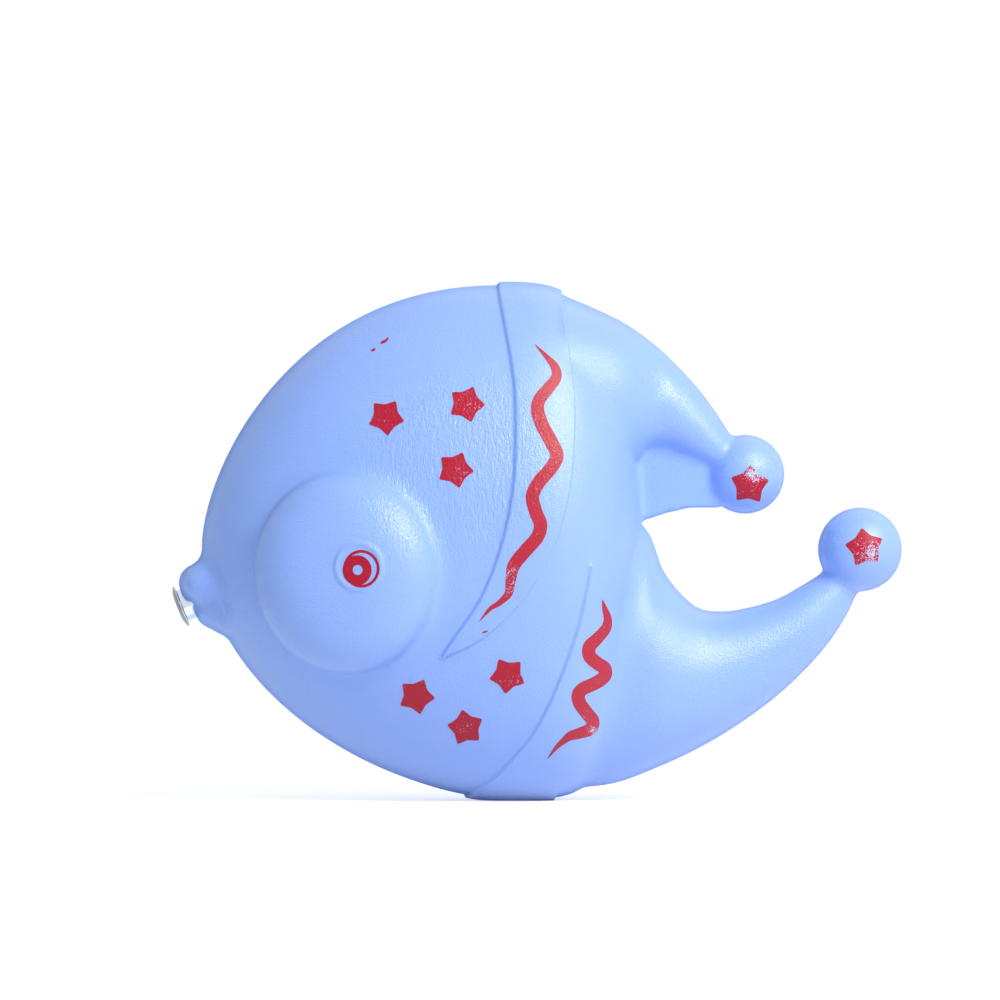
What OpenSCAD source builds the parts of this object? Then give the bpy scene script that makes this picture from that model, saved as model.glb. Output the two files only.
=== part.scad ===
// Hollow soft vinyl bath fish with two eye domes, a forked tail and a metal reed squeaker in its mouth.
// The head points along -X, the tail along +X, and up is +Z.
// The origin lies on the flat under the belly.

/* [Body] */
// length from the tallest station to the tip of the head
head_len = 50; // [35:0.1:70]
// length from the tallest station to the back of the tail fork
rear_len = 22.4; // [16:0.2:35]
// height of the body without its raised bands
body_h = 84.4; // [60:0.2:120]
// thickness of the body without its eye domes
body_t = 50; // [34:0.5:70]
// extra height of the body over its axis
crown_h = 0.4; // [0:0.1:1]
// height of the body's lowest point above the resting plane
base_lift = 0.15; // [0:0.05:0.3]
// fullness of the head's upper outline
head_top_power = 2.25; // [1.7:0.05:2.6]
// fullness of the head's upper outline at its tip
head_tip_power = 1.6; // [1.3:0.05:2.2]
// fullness of the head's lower outline
head_under_power = 1.65; // [1.4:0.05:2.6]
// fullness of the head in plan
head_plan_power = 2; // [1.7:0.05:2.6]
// fullness of the upper outline behind the tallest station
rear_top_power = 3.1; // [2.2:0.1:5]
// fullness of the lower outline behind the tallest station
rear_under_power = 4.4; // [3:0.1:6]
// fullness of the plan behind the tallest station
rear_plan_power = 2.8; // [2:0.1:4]
// wall thickness of the vinyl skin
skin_wall = 2; // [1.2:0.1:3]

/* [Raised bands] */
// height of a raised band over the skin
band_relief = 0.65; // [0.4:0.05:1.2]
// depth that a band reaches into the skin below it
band_root = 0.8; // [0.5:0.1:1]

/* [Eyes] */
// distance of the eye dome's rim centre ahead of the tallest station
eye_ahead = 25.6; // [18:0.2:36]
// distance of the eye dome's rim centre below the body's axis
eye_drop = 3.6; // [0:0.1:10]
// depth of the rim centre under the body's surface
eye_sink = 1.8; // [1:0.1:4]
// turn of the eye dome towards the head, in degrees
eye_yaw = 19; // [10:1:28]
// radius of the eye dome's rim
eye_rim_r = 16.4; // [11:0.1:22]
// radius of the ball that the eye dome is cut from
eye_ball_r = 19; // [13:0.1:25]
// depth of the ball's middle under the rim
eye_depth = 10.4; // [6:0.1:12]
// length of the eye dome's skirt inside the body
eye_skirt = 2; // [1:0.1:3]
// radius of the raised pupil disc
pupil_r = 4.2; // [3:0.1:6]
// distance of the pupil disc ahead of the dome's middle
pupil_ahead = 1.4; // [0:0.1:2.5]
// height of the pupil disc over the dome
pupil_rise = 0.4; // [0.2:0.05:0.8]
// height of the bead round the pupil disc
pupil_bead = 0.2; // [0.15:0.05:0.4]

/* [Mouth] */
// distance of the whistle's flange ahead of the head's tip
mouth_out = 3.2; // [2.6:0.1:6]
// distance of the whistle's flange below the body's axis
mouth_drop = 10.3; // [6:0.1:15]
// downward tilt of the mouth, in degrees
mouth_droop = 22; // [10:1:35]
// radius of the upper lip's roll
upper_lip_r = 3.1; // [1.8:0.05:4]
// height of the upper lip over the mouth's axis
upper_lip_rise = 2.6; // [2.2:0.1:5.2]
// radius of the lower lip's roll
lower_lip_r = 2.2; // [1.5:0.05:3]
// depth of the lower lip under the mouth's axis
lower_lip_drop = 2.9; // [2.2:0.1:4.2]
// distance of the lips behind the whistle's flange
lip_back = 3.7; // [2.8:0.1:5]
// half width of the lips
lip_half_w = 4.2; // [3:0.1:6]
// how far the lips' ends turn back
lip_bow = 0.8; // [0.4:0.1:1.5]
// spread of the lower lip's root away from the mouth's axis
lip_lean = 3.2; // [0.8:0.1:4]
// depth of the lips' roots behind their fronts
lip_depth = 2.7; // [1.4:0.1:4]
// outer radius of the neck that holds the whistle
neck_r = 4.4; // [3.6:0.1:6]
// gap between the neck's inner end and the back cap
neck_gap = 0.8; // [0.4:0.1:2]

/* [Squeaker] */
// radius of the barrel
barrel_r = 2.7; // [2:0.05:3.6]
// wall of the barrel's sheet
barrel_wall = 0.25; // [0.15:0.01:0.4]
// length of the barrel behind the flange
barrel_len = 11; // [9:0.1:15]
// radius of the flange
flange_r = 3.5; // [2.8:0.05:4.6]
// thickness of the flange
flange_t = 0.35; // [0.2:0.01:0.6]
// bulge of the flange's middle ahead of its rim
flange_crown = 0.5; // [0.2:0.05:0.8]
// thickness of the front plate
plate_t = 0.3; // [0.2:0.01:0.5]
// depth of the front plate behind the flange's face
plate_depth = 0.7; // [0.5:0.05:1.2]
// radius of the sound hole in the front plate's middle
sound_hole_r = 0.55; // [0.35:0.05:0.8]
// radius of the small holes round it
side_hole_r = 0.32; // [0.2:0.02:0.45]
// thickness of the back cap's end
cap_t = 0.4; // [0.25:0.01:0.6]
// depth of the back cap's rim over the barrel
cap_rim = 1; // [0.6:0.05:1.6]
// wall of the back cap's rim
cap_wall = 0.3; // [0.2:0.01:0.5]
// radius of the air holes in the back cap
air_hole_r = 0.42; // [0.3:0.02:0.55]
// gap between the front plate and the reed block
block_gap = 1.5; // [0.8:0.1:2.5]
// thickness of the reed block's front collar
collar_t = 0.6; // [0.4:0.05:1]
// half width of the wedge over the reed's root
wedge_half_w = 1.3; // [1:0.05:1.7]
// half width of the air channel in the reed block
channel_half_w = 0.7; // [0.4:0.05:1]
// depth of the air channel
channel_depth = 1.1; // [0.7:0.05:1.5]
// thickness of the reed
reed_t = 0.12; // [0.08:0.01:0.2]
// half width of the reed
reed_half_w = 1.1; // [0.7:0.05:1.4]
// gap between the reed's tip and the block's collar
tip_gap = 0.6; // [0.3:0.1:1.2]
// length of the reed's held root
reed_root = 2; // [1.4:0.1:3]
// gap beside the reed's root
reed_gap = 0.14; // [0.1:0.01:0.25]
// drop of the block's facing away from the reed at its tip
facing_drop = 0.6; // [0.4:0.05:0.9]

/* [Tail] */
// radius of the ball on the upper horn
upper_ball_r = 6.5; // [4.5:0.1:9]
// radius of the ball on the lower horn
lower_ball_r = 6.9; // [4.5:0.1:9]
// half thickness of the web beside the upper horn
web_half_t = 3; // [2:0.1:4.5]

/* [Prints] */
// thickness of a printed paint film
film_t = 0.15; // [0.08:0.01:0.25]
// gap between a film and the faceted skin below it
film_gap = 0.1; // [0.05:0.01:0.14]
// radius of a star on the body
star_r = 3; // [2:0.1:4]
// radius of a star on a tail ball
ball_star_r = 3.3; // [2.2:0.1:4.5]
// half width of a printed wave
wave_half_w = 1.08; // [0.7:0.02:1.6]
// radius of the printed eye ring
eye_ring_r = 2.9; // [2.2:0.05:4]
// width of the printed eye ring
eye_ring_w = 0.42; // [0.25:0.01:0.6]
// radius of the printed eye spot
eye_spot_r = 2.4; // [1.6:0.05:3.2]
// radius of the clear dot in the eye spot
eye_dot_r = 0.82; // [0.5:0.02:1.2]

/* [Fits] */
// gap round each eye dome
eye_gap = 0.3; // [0.2:0.05:0.5]
// gap between the whistle's barrel and its seat
seat_gap = 0.03; // [0.01:0.01:0.08]
// gap between pieces inside the barrel
inner_gap = 0.02; // [0.01:0.01:0.05]
// how far a cut runs past the face it leaves
overrun = 1; // [0.5:0.1:3]

/* [Hidden] */

// colours
vinyl_blue = "#9fc3fb";
paint_red = "#c8283c";
tin_grey = "#c9ccd2";
brass_gold = "#cfa653";
plastic_white = "#eef0f0";

// derived sizes
half_h = body_h / 2;
half_t = body_t / 2;
axis_h = half_h + base_lift;
eye_x = -eye_ahead;
eye_z = axis_h - eye_drop;
mouth_x = -(head_len + mouth_out);
mouth_z = axis_h - mouth_drop;
dome_r = eye_rim_r - eye_gap;
seat_r = barrel_r + seat_gap;
bore_r = barrel_r - barrel_wall;
core_r = bore_r - inner_gap;
neck_len = barrel_len - cap_rim - neck_gap;

// depths along the barrel, and the reed's seat
root_end = barrel_len - inner_gap;
root_front = root_end - reed_root;
block_front = plate_depth + plate_t - flange_t + block_gap + collar_t;
block_len = root_end - block_front;
reed_len = root_front - block_front - tip_gap;
root_face = reed_t / 2 + reed_gap;

// facet counts and turns
sides = 48;
inner_sides = 24;
horn_sides = 18;
inner_horn_sides = 12;
seat_sides = 36;
seat_cut_r = seat_r / cos(180 / seat_sides);
ball_sides = 28;
inner_ball_sides = 14;
lip_sides = 14;
band_steps = 2;
band_columns = 3;
end_turn = 3;

// share of the body's full section left at a station, shrunk by an inset
function station_share(x, inset, head_power, rear_power, tip_power = 2) =
    let (reach = x < 0 ? head_len - inset : rear_len - inset)
    let (power = x < 0 ? head_power : rear_power)
    let (end_power = x < 0 ? tip_power : 2)
    pow(max(0, 1 - pow(min(1, abs(x) / reach), power)), 1 / end_power);

// height of the body over its axis at a station, and depth under it
function station_top(x, inset) =
    (half_h + crown_h - inset) * station_share(x, inset, head_top_power, rear_top_power, head_tip_power);
function station_under(x, inset) =
    (half_h - inset) * station_share(x, inset, head_under_power, rear_under_power);

// half thickness of the body at a station
function station_t(x, inset) = (half_t - inset) * station_share(x, inset, head_plan_power, rear_plan_power);

// point of the body at a station and a turn from its top, raised by a lift
function skin_point(x, turn, inset, lift) =
    let (r = cos(turn) > 0 ? station_top(x, inset) : station_under(x, inset))
    [x, sin(turn) * (station_t(x, inset) + lift), axis_h + cos(turn) * (r + lift)];

// half thickness of the body at a point of its side, raised by a lift
function side_y(x, z, lift) =
    let (r = z > axis_h ? station_top(x, 0) : station_under(x, 0))
    (station_t(x, 0) + lift) * sqrt(max(0, 1 - pow((z - axis_h) / (r + lift), 2)));

// smooth curve through the rows of a list
function blend_row(a, b, c, d, t) =
    (2 * b + (c - a) * t + (2 * a - 5 * b + 4 * c - d) * t * t + (3 * b - a - 3 * c + d) * t * t * t) / 2;
function smooth_rows(rows, steps) =
    let (last = len(rows) - 1)
    concat([for (i = [0:last - 1], s = [0:steps - 1])
                blend_row(rows[max(i - 1, 0)], rows[i], rows[i + 1], rows[min(i + 2, last)], s / steps)],
           [rows[last]]);

// a list from its end to its start
function turned(rows) = [for (i = [len(rows) - 1:-1:0]) rows[i]];

// stations along the body from its head to its fork
function stations(inset, head_steps, rear_steps) =
    concat([for (i = [0:head_steps]) -(head_len - inset) * cos(end_turn + (90 - end_turn) * i / head_steps)],
           [for (i = [1:rear_steps]) (rear_len - inset) * sin((90 - end_turn) * i / rear_steps)]);

// place along the fish: a share of the head's length ahead of the tallest station, of the rear's behind
function along(share) = share * (share < 0 ? head_len : rear_len);

// height from a share of the body's height over its axis
function upright(share) = axis_h + share * body_h;

// horn rungs, head side first: outer edge, inner edge and half thickness
// as shares along the fish, of the body's height, and for the last of the body's thickness
upper_horn_shares = [
    [0.424, 0.486, 0.500, 0.130, 0.330],
    [0.836, 0.437, 0.919, 0.146, 0.245],
    [1.104, 0.388, 1.059, 0.178, 0.155],
    [1.288, 0.342, 1.160, 0.178, 0.136],
    [1.435, 0.299, 1.262, 0.170, 0.122],
    [1.553, 0.256, 1.379, 0.158, 0.108],
    [1.658, 0.213, 1.496, 0.143, 0.093],
    [1.729, 0.182, 1.598, 0.127, 0.078]];
lower_horn_shares = [
    [0.422, -0.480, 0.715, 0.053, 0.279],
    [0.791, -0.470, 1.027, 0.031, 0.257],
    [1.104, -0.440, 1.179, -0.059, 0.243],
    [1.435, -0.399, 1.397, -0.122, 0.206],
    [1.729, -0.352, 1.598, -0.133, 0.174],
    [1.989, -0.301, 1.804, -0.125, 0.147],
    [2.197, -0.250, 2.012, -0.108, 0.122],
    [2.377, -0.196, 2.189, -0.082, 0.100],
    [2.517, -0.139, 2.336, -0.057, 0.078],
    [2.630, -0.072, 2.483, -0.025, 0.054]];
upper_ball_shares = [1.767, 0.135];
lower_ball_shares = [2.614, -0.012];

// web outline between the upper horn and the body, as shares along the fish and of the body's height
web_shares = [
    [0.942, 0.20], [1.620, 0.15], [1.572, 0.07], [1.356, 0.07],
    [1.179, 0.059], [1.018, 0.045], [0.904, 0.08]];

// bands as turns from the top with their front and back edges, as shares along the fish
upper_band_shares = [
    [0, -0.025, 0.403], [18, -0.012, 0.429], [35, 0, 0.449], [52, 0.062, 0.495],
    [65, 0.074, 0.497], [78, 0.054, 0.460], [91, -0.016, 0.346], [102, -0.079, 0.135],
    [111, -0.160, -0.069], [116.5, -0.206, -0.194]];
lower_band_shares = [
    [180, -0.132, 0.353], [163, -0.084, 0.415], [146, 0.051, 0.670], [137, 0.201, 0.741],
    [127, 0.330, 0.766], [117, 0.444, 0.777], [108, 0.533, 0.754], [99, 0.594, 0.674],
    [95, 0.614, 0.634]];

// stars on a side as shares along the fish and of the body's height, with the turn of one tip
star_shares = [
    [-0.386, 0.240, -86], [-0.124, 0.266, -83], [-0.160, 0.139, -80],
    [-0.288, -0.293, -78], [0.019, -0.252, -97], [-0.128, -0.354, 100]];
star_waist_share = 0.7;

// stars on the tail balls as shares of the ball's radius, with the turn of one tip
upper_ball_star_shares = [0.09, -0.27, 86];
lower_ball_star_shares = [0.07, 0.05, 99];

// how much the lips' ends drop towards the mouth's axis
lip_bow_share = 0.12;

// centre lines of the waves as shares along the fish and of the body's height, with their share of width
upper_wave_shares = [
    [0.218, 0.384, 0.05], [0.297, 0.362, 0.35], [0.362, 0.340, 0.65], [0.370, 0.320, 0.8],
    [0.312, 0.299, 0.9], [0.248, 0.277, 0.95], [0.236, 0.255, 1], [0.271, 0.227, 1],
    [0.336, 0.195, 1], [0.374, 0.170, 1], [0.332, 0.146, 1], [0.245, 0.119, 1],
    [0.198, 0.092, 1], [0.221, 0.062, 1], [0.256, 0.037, 1], [0.230, 0.013, 1],
    [0.145, -0.013, 1], [0.063, -0.041, 0.95], [0.040, -0.070, 0.75], [0.025, -0.094, 0.6],
    [-0.018, -0.112, 0.42], [-0.049, -0.124, 0.3], [-0.083, -0.148, 0.05]];
lower_wave_shares = [
    [0.704, -0.107, 0.05], [0.723, -0.125, 0.4], [0.744, -0.145, 0.62], [0.729, -0.163, 0.8],
    [0.671, -0.181, 0.9], [0.612, -0.197, 1], [0.612, -0.215, 1], [0.666, -0.229, 1],
    [0.729, -0.240, 1], [0.729, -0.255, 1], [0.654, -0.268, 1], [0.562, -0.279, 1],
    [0.530, -0.292, 1], [0.545, -0.308, 1], [0.591, -0.325, 1], [0.637, -0.342, 1],
    [0.622, -0.357, 0.95], [0.545, -0.365, 0.85], [0.476, -0.370, 0.7], [0.430, -0.379, 0.5],
    [0.372, -0.393, 0.3], [0.309, -0.415, 0.05]];

// pieces of the eye's print as shares of its ring's radius, from the pupil's middle
eye_ring_share = [0.14, -0.11];
eye_spot_share = [-0.08, -0.19];
eye_dot_share = [-0.05, -0.17];

// distance of the small holes from the barrel's axis, as shares of the plates' radius
side_hole_share = 0.58;
air_hole_share = 0.8;

// least share of a horn's section and of a wave's width that is kept at an end
horn_keep_share = 0.3;
wave_tip_share = 0.05;

// closed skin through a list of rings
module ring_solid(rings) {
    n = len(rings[0]);
    m = len(rings);
    sides_a = [for (i = [0:m - 2], j = [0:n - 1])
        [i * n + j, (i + 1) * n + (j + 1) % n, i * n + (j + 1) % n]];
    sides_b = [for (i = [0:m - 2], j = [0:n - 1])
        [i * n + j, (i + 1) * n + j, (i + 1) * n + (j + 1) % n]];
    first_end = [for (j = [1:n - 2]) [0, j, j + 1]];
    last_end = [for (j = [1:n - 2]) [(m - 1) * n, (m - 1) * n + j + 1, (m - 1) * n + j]];
    polyhedron([for (ring = rings) each ring], concat(sides_a, sides_b, first_end, last_end), convexity = 6);
}

// main body through its upright oval sections
module body_form(inset, around, head_steps, rear_steps) {
    ring_solid([for (x = turned(stations(inset, head_steps, rear_steps)))
        [for (j = [0:around - 1])
            skin_point(x, 360 * j / around, inset, 0)]]);
}

// tapered horn through its rungs, shrunk by an inset
module horn_form(shares, inset, steps, around) {
    rungs = smooth_rows([for (s = shares)
        [along(s[0]), upright(s[1]), along(s[2]), upright(s[3]), s[4] * body_t]], steps);
    ring_solid([for (g = rungs)
        let (mid = [(g[0] + g[2]) / 2, (g[1] + g[3]) / 2])
        let (arm = [(g[0] - g[2]) / 2, (g[1] - g[3]) / 2])
        let (keep = max(horn_keep_share, 1 - inset / norm(arm)))
        let (thick = max(horn_keep_share * g[4], g[4] - inset))
        [for (j = [0:around - 1])
            let (a = 360 * j / around)
            [mid[0] + arm[0] * keep * cos(a), thick * sin(a), mid[1] + arm[1] * keep * cos(a)]]]);
}

// raised band that follows the body on both sides
module band_form(shares) {
    rows = [for (s = shares) [s[0], along(s[1]), along(s[2])]];
    half = smooth_rows(rows, band_steps);
    count = len(half);
    start = half[0][0];
    both = concat([for (i = [count - 1:-1:1]) [2 * start - half[i][0], half[i][1], half[i][2]]], half);
    ring_solid([for (row = rows[1][0] > start ? both : turned(both))
        let (xs = [for (k = [0:band_columns]) row[1] + (row[2] - row[1]) * k / band_columns])
        concat([for (x = xs) skin_point(x, row[0], 0, band_relief)],
               [for (x = turned(xs)) skin_point(x, row[0], 0, -band_root)])]);
}

// frame of the mouth: out along +Z, up along +X
module at_mouth() {
    translate([mouth_x, 0, mouth_z])
        rotate([0, -(90 + mouth_droop), 0])
            children();
}

// frame of the left eye's rim: out along +Z
module at_eye() {
    translate([eye_x, eye_sink - side_y(eye_x, eye_z, 0), eye_z])
        rotate([90, 0, -eye_yaw])
            children();
}

// place on a lip across the mouth, from -1 to 1, in the mouth's frame
function lip_spot(rise, back, spot) =
    [rise * (1 - lip_bow_share * spot * spot), spot * lip_half_w, -back - lip_bow * spot * spot];

// lip rolled across the mouth with its root in the head
module lip(rise, roll_r, root_rise, root_back) {
    for (spot = [-1, -0.5, 0, 0.5])
        hull()
            for (s = [spot, spot + 0.5]) {
                translate(lip_spot(rise, lip_back, s))
                    sphere(roll_r, $fn = lip_sides);
                translate(lip_spot(root_rise, root_back, s))
                    sphere(roll_r, $fn = lip_sides);
            }
}

// web between the upper horn and the body
module web_form() {
    translate([0, web_half_t, 0])
        rotate([90, 0, 0])
            linear_extrude(2 * web_half_t)
                polygon([for (s = web_shares) [along(s[0]), upright(s[1])]]);
}

// ball at the tip of a horn
module tail_ball(shares, r, around) {
    translate([along(shares[0]), 0, upright(shares[1])])
        sphere(r, $fn = around);
}

// outer form of the vinyl moulding
module outer_form() {
    body_form(0, sides, 15, 9);
    horn_form(turned(upper_horn_shares), 0, 2, horn_sides);
    horn_form(lower_horn_shares, 0, 2, horn_sides);
    tail_ball(upper_ball_shares, upper_ball_r, ball_sides);
    tail_ball(lower_ball_shares, lower_ball_r, ball_sides);
    web_form();
    band_form(upper_band_shares);
    band_form(lower_band_shares);
    at_mouth() {
        lip(upper_lip_rise, upper_lip_r, upper_lip_rise, lip_back + lip_depth);
        lip(-lower_lip_drop, lower_lip_r, -lower_lip_drop - lip_lean, lip_back + lip_depth);
    }
}

// air room inside the moulding
module inner_form() {
    body_form(skin_wall, inner_sides, 8, 5);
    horn_form(turned(upper_horn_shares), skin_wall, 1, inner_horn_sides);
    horn_form(lower_horn_shares, skin_wall, 1, inner_horn_sides);
    tail_ball(upper_ball_shares, upper_ball_r - skin_wall, inner_ball_sides);
    tail_ball(lower_ball_shares, lower_ball_r - skin_wall, inner_ball_sides);
}

module body_shell() {
    color(vinyl_blue)
        difference() {
            union() {
                difference() {
                    outer_form();
                    inner_form();
                }
                at_mouth()
                    translate([0, 0, -neck_len])
                        cylinder(h = neck_len - lip_back, r = neck_r, $fn = seat_sides);
            }
            at_mouth()
                translate([0, 0, -neck_len - overrun])
                    cylinder(h = neck_len + 2 * overrun, r = seat_cut_r, $fn = seat_sides);
            for (flip = [0, 1])
                mirror([0, flip, 0])
                    at_eye()
                        translate([0, 0, -eye_rim_r / 2])
                            cylinder(h = 2 * eye_rim_r, r = eye_rim_r, $fn = sides);
            translate([-head_len, -body_t, -body_h])
                cube([2 * head_len, 2 * body_t, body_h]);
        }
}

// middle of the ball that the left eye dome is cut from
function eye_ball_mid() =
    [eye_x + eye_depth * sin(eye_yaw),
     eye_sink - side_y(eye_x, eye_z, 0) + eye_depth * cos(eye_yaw),
     eye_z];

// frame of the left pupil: out along +Z, on top of the dome
module at_pupil() {
    translate(eye_ball_mid() - [pupil_ahead, sqrt(pow(eye_ball_r, 2) - pow(pupil_ahead, 2)), 0])
        rotate([90, 0, 0])
            children();
}

module eye_wall() {
    color(vinyl_blue)
        union() {
            at_eye()
                difference() {
                    union() {
                        intersection() {
                            translate([0, 0, -eye_depth])
                                sphere(eye_ball_r);
                            cylinder(h = eye_ball_r, r = dome_r);
                        }
                        translate([0, 0, -eye_skirt])
                            cylinder(h = eye_skirt, r = dome_r);
                    }
                    translate([0, 0, -eye_depth])
                        sphere(eye_ball_r - skin_wall);
                }
            at_pupil() {
                translate([0, 0, -skin_wall / 2])
                    cylinder(h = pupil_rise + skin_wall / 2, r = pupil_r);
                translate([0, 0, pupil_rise])
                    rotate_extrude()
                        translate([pupil_r - 2 * pupil_bead, 0])
                            circle(pupil_bead, $fn = 24);
            }
        }
}

module left_eye_wall() {
    eye_wall();
}

module right_eye_wall() {
    mirror([0, 1, 0])
        eye_wall();
}

module squeaker_barrel() {
    color(tin_grey)
        at_mouth()
            rotate_extrude()
                polygon([[bore_r, -barrel_len], [barrel_r, -barrel_len], [barrel_r, 0], [flange_r, 0],
                         [flange_r, flange_t], [bore_r, flange_t + flange_crown]]);
}

module squeaker_front_plate() {
    color(tin_grey)
        at_mouth()
            translate([0, 0, flange_t - plate_depth - plate_t])
                difference() {
                    cylinder(h = plate_t, r = core_r);
                    translate([0, 0, -overrun])
                        cylinder(h = plate_t + 2 * overrun, r = sound_hole_r);
                    for (turn = [45:90:315])
                        rotate([0, 0, turn])
                            translate([core_r * side_hole_share, 0, -overrun])
                                cylinder(h = plate_t + 2 * overrun, r = side_hole_r);
                }
}

module squeaker_back_cap() {
    color(tin_grey)
        at_mouth()
            translate([0, 0, -barrel_len - cap_t])
                difference() {
                    cylinder(h = cap_t + cap_rim, r = barrel_r + inner_gap + cap_wall);
                    translate([0, 0, cap_t])
                        cylinder(h = cap_rim + overrun, r = barrel_r + inner_gap);
                    for (turn = [-60, 60])
                        rotate([0, 0, turn])
                            translate([core_r * air_hole_share, 0, -overrun])
                                cylinder(h = cap_t + 2 * overrun, r = air_hole_r);
                }
}

// half plug of the barrel's bore between two depths, on one side of a slanted facing
module half_plug(deep, shallow, deep_x, shallow_x, up) {
    intersection() {
        translate([0, 0, -deep])
            cylinder(h = deep - shallow, r = core_r);
        rotate([90, 0, 0])
            translate([0, 0, -barrel_r])
                linear_extrude(2 * barrel_r)
                    polygon([[deep_x, -deep], [shallow_x, -shallow],
                             [up * barrel_r, -shallow], [up * barrel_r, -deep]]);
    }
}

module reed_block() {
    color(plastic_white)
        at_mouth()
            union() {
                difference() {
                    union() {
                        half_plug(root_end, root_front, -root_face, -root_face, -1);
                        half_plug(root_front, block_front, -root_face, -root_face - facing_drop, -1);
                    }
                    translate([-reed_gap - channel_depth, -channel_half_w, -root_front])
                        cube([channel_depth + overrun, 2 * channel_half_w, block_len]);
                }
                translate([0, 0, -block_front])
                    difference() {
                        cylinder(h = collar_t, r = core_r);
                        translate([-reed_gap - channel_depth, -channel_half_w, -overrun])
                            cube([channel_depth - reed_t, 2 * channel_half_w, collar_t + 2 * overrun]);
                    }
            }
}

module reed_wedge() {
    color(plastic_white)
        at_mouth()
            intersection() {
                half_plug(root_end, root_front, root_face, root_face, 1);
                translate([0, -wedge_half_w, -barrel_len])
                    cube([barrel_r, 2 * wedge_half_w, barrel_len]);
            }
}

module reed_tongue() {
    color(brass_gold)
        at_mouth()
            translate([-reed_t / 2, -reed_half_w, -root_end + reed_gap])
                cube([reed_t, 2 * reed_half_w, reed_root - reed_gap + reed_len]);
}

module eye_print() {
    color(paint_red)
        at_pupil()
            translate([0, 0, pupil_rise])
                linear_extrude(film_t)
                    difference() {
                        union() {
                            difference() {
                                translate(eye_ring_share * eye_ring_r)
                                    circle(eye_ring_r, $fn = 64);
                                translate(eye_ring_share * eye_ring_r)
                                    circle(eye_ring_r - eye_ring_w, $fn = 64);
                            }
                            translate(eye_spot_share * eye_ring_r)
                                circle(eye_spot_r, $fn = 64);
                        }
                        translate(eye_dot_share * eye_ring_r)
                            circle(eye_dot_r, $fn = 32);
                    }
}

module left_eye_print() {
    eye_print();
}

module right_eye_print() {
    mirror([0, 1, 0])
        eye_print();
}

// film over a curved side: points of an outer ring, an inner ring and the middle, on each face
module film_star(under, over) {
    n = (len(under) - 1) / 2;
    top = 2 * n + 1;
    mid = 2 * n;
    polyhedron(concat(under, over), [for (j = [0:n - 1])
        let (k = (j + 1) % n)
        let (a = j % 2 == 0 ? k : j)
        let (b = j % 2 == 0 ? n + j : n + k)
        each [
            [j, k, b],
            [a, n + k, n + j],
            [n + j, n + k, mid],
            [top + k, top + j, top + b],
            [top + n + k, top + a, top + n + j],
            [top + n + k, top + n + j, top + mid],
            [j, top + k, k],
            [j, top + j, top + k]]], convexity = 4);
}

// corners of a star in the side view, a ring half way in, and its middle
function star_corners(x, z, r, tip) =
    concat([for (share = [1, 0.5], j = [0:9])
                let (reach = share * (j % 2 == 0 ? r : r * star_waist_share))
                [x + reach * cos(tip + 36 * j), z + reach * sin(tip + 36 * j)]],
           [[x, z]]);

module body_star(s) {
    corners = star_corners(along(s[0]), upright(s[1]), star_r, s[2]);
    film_star([for (c = corners) [c[0], -side_y(c[0], c[1], film_gap), c[1]]],
              [for (c = corners) [c[0], -side_y(c[0], c[1], film_gap + film_t), c[1]]]);
}

// half thickness of a tail ball at a point of its side
function ball_y(c, mid, r) = sqrt(r * r - pow(c[0] - mid[0], 2) - pow(c[1] - mid[1], 2));

module ball_star(shares, r, s) {
    mid = [along(shares[0]), upright(shares[1])];
    corners = star_corners(mid[0] + s[0] * r, mid[1] + s[1] * r, ball_star_r, s[2]);
    film_star([for (c = corners) [c[0], -ball_y(c, mid, r + film_gap), c[1]]],
              [for (c = corners) [c[0], -ball_y(c, mid, r + film_gap + film_t), c[1]]]);
}

module star_prints() {
    color(paint_red)
        for (flip = [0, 1])
            mirror([0, flip, 0]) {
                for (s = star_shares)
                    body_star(s);
                ball_star(upper_ball_shares, upper_ball_r, upper_ball_star_shares);
                ball_star(lower_ball_shares, lower_ball_r, lower_ball_star_shares);
            }
}

// tapered film along a wavy line on a raised band
module wave_film(shares) {
    rows = smooth_rows([for (s = shares) [along(s[0]), upright(s[1]), s[2]]], 2);
    last = len(rows) - 1;
    low = band_relief + film_gap;
    ring_solid([for (i = [last:-1:0])
        let (ahead = rows[min(i + 1, last)] - rows[max(i - 1, 0)])
        let (across = [-ahead[1], ahead[0]] / norm([ahead[0], ahead[1]]))
        let (w = max(wave_tip_share, rows[i][2]) * wave_half_w)
        let (mid = [rows[i][0], rows[i][1]])
        let (a = mid + across * w)
        let (b = mid - across * w)
        [[a[0], -side_y(a[0], a[1], low), a[1]],
         [b[0], -side_y(b[0], b[1], low), b[1]],
         [b[0], -side_y(b[0], b[1], low + film_t), b[1]],
         [a[0], -side_y(a[0], a[1], low + film_t), a[1]]]]);
}

module wave_prints() {
    color(paint_red)
        for (flip = [0, 1])
            mirror([0, flip, 0]) {
                wave_film(upper_wave_shares);
                wave_film(lower_wave_shares);
            }
}

body_shell();
left_eye_wall();
right_eye_wall();
squeaker_barrel();
squeaker_front_plate();
squeaker_back_cap();
reed_block();
reed_wedge();
reed_tongue();
left_eye_print();
right_eye_print();
star_prints();
wave_prints();
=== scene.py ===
import math

import bmesh
import bpy
import numpy as np
from mathutils import Matrix, Vector
from mathutils.bvhtree import BVHTree


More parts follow.
